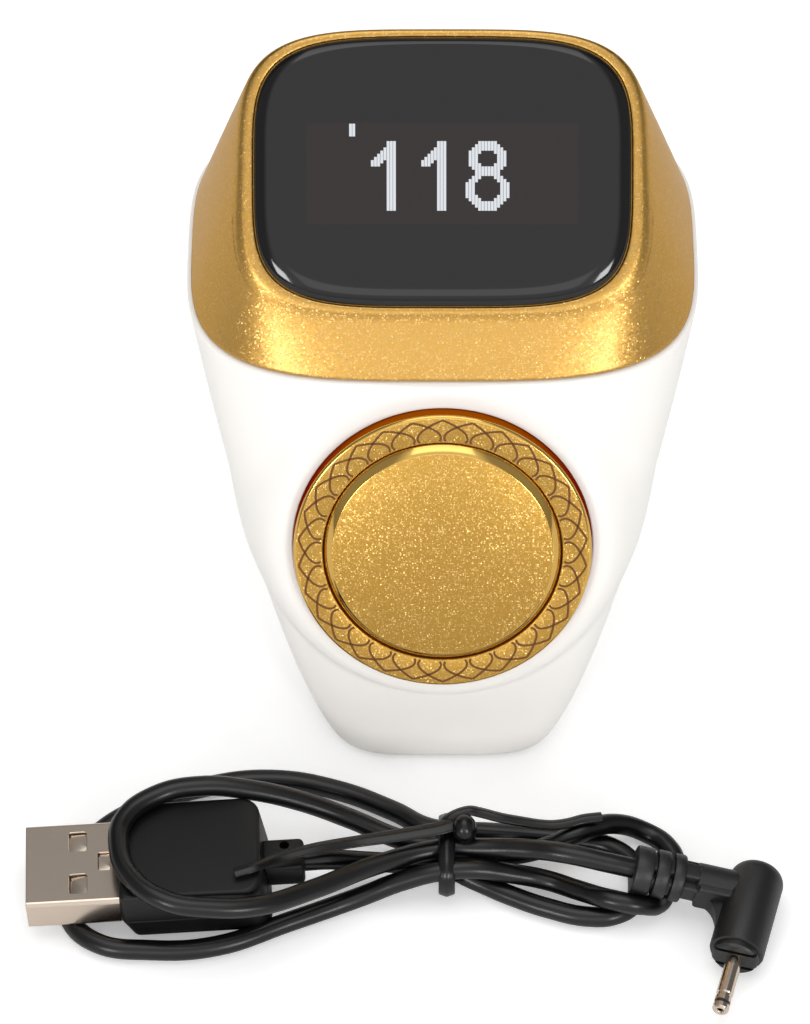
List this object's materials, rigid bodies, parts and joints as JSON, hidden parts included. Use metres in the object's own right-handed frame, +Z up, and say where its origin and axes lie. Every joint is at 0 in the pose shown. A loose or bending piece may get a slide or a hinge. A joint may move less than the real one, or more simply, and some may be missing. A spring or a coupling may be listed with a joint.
{
  "type": "digital tasbih counter",
  "caption": "Upright tally counter for prayer beads: white tapering body, gold cap with sloping black display glass, gold ring and push button, with a tied charging lead.",
  "frame": {"origin": "centre of the foot on the table", "axes": "+Z up, -Y out of the front with the button, +X to the right as seen from the back"},
  "size_m": [0.0912, 0.1003, 0.0821],
  "materials": {
    "white_shell": "satin moulded ABS",
    "gold_cap": "gold metallic paint with fine flakes",
    "gold_ring": "gold, fine sparkle, printed tracery",
    "gold_button": "gold, fine sparkle, polished bevel",
    "black_glass": "polished tinted window",
    "foot_rubber": "matt rubber",
    "gasket_foam": "black adhesive foam",
    "screw_steel": "zinc plated",
    "frame_plastic": "matt moulded ABS",
    "panel_glass": "thin display panel",
    "circuit_board": "green solder mask",
    "flex_film": "amber film",
    "clip_steel": "spring steel",
    "return_foam": "soft silicone",
    "switch_black": "matt nylon",
    "wire_sleeve": "soft wire insulation",
    "chip_epoxy": "moulded epoxy",
    "battery_foil": "foil pouch",
    "contact_gold": "gold flashed brass",
    "plug_nickel": "nickel plated steel",
    "plug_white": "white plastic tongue",
    "plug_pvc": "black satin PVC",
    "lead_pvc": "black satin PVC sleeve",
    "tie_pvc": "black PVC coated wire"
  },
  "bodies": {
    "counter": {"white_body": "white_shell", "base_cover": "white_shell", "foot_pad": "foot_rubber", "base_screws": "screw_steel", "inner_frame": "frame_plastic", "bezel_cap": "gold_cap", "display_glass": "black_glass", "glass_gasket": "gasket_foam", "oled_panel": "panel_glass", "oled_board": "circuit_board", "oled_frame": "frame_plastic", "frame_screws": "screw_steel", "oled_flex": "flex_film", "button_ring": "gold_ring", "ring_clip": "clip_steel", "return_pad": "return_foam", "tact_switch": "switch_black", "switch_board": "circuit_board", "switch_carrier": "frame_plastic", "button_wires": "wire_sleeve", "main_board": "circuit_board", "board_chips": "chip_epoxy", "board_screws": "screw_steel", "battery": "battery_foil", "battery_wires": "wire_sleeve", "socket_board": "circuit_board", "charge_socket": "switch_black", "socket_pin": "contact_gold", "socket_wires": "wire_sleeve", "usb_shell": "plug_nickel", "usb_tongue": "plug_white", "usb_contacts": "contact_gold", "usb_grip": "plug_pvc", "usb_relief": "plug_pvc", "lead_cord": "lead_pvc", "twist_tie": "tie_pvc", "dc_relief": "plug_pvc", "dc_body": "plug_pvc", "dc_collar": "plug_pvc", "dc_barrel": "plug_nickel", "dc_tip": "plug_pvc"},
    "button": {"count_button": "gold_button", "switch_plunger": "switch_black"}
  },
  "joints": [
    {"name": "button_press", "type": "slide", "parent": "counter", "child": "button", "axis": [0, 0.91, -0.4147], "range_m": [0, 0.0005], "stiffness_N_per_m": 3000, "springref_m": -0.0001, "deforming": ["return_pad"]}
  ]
}
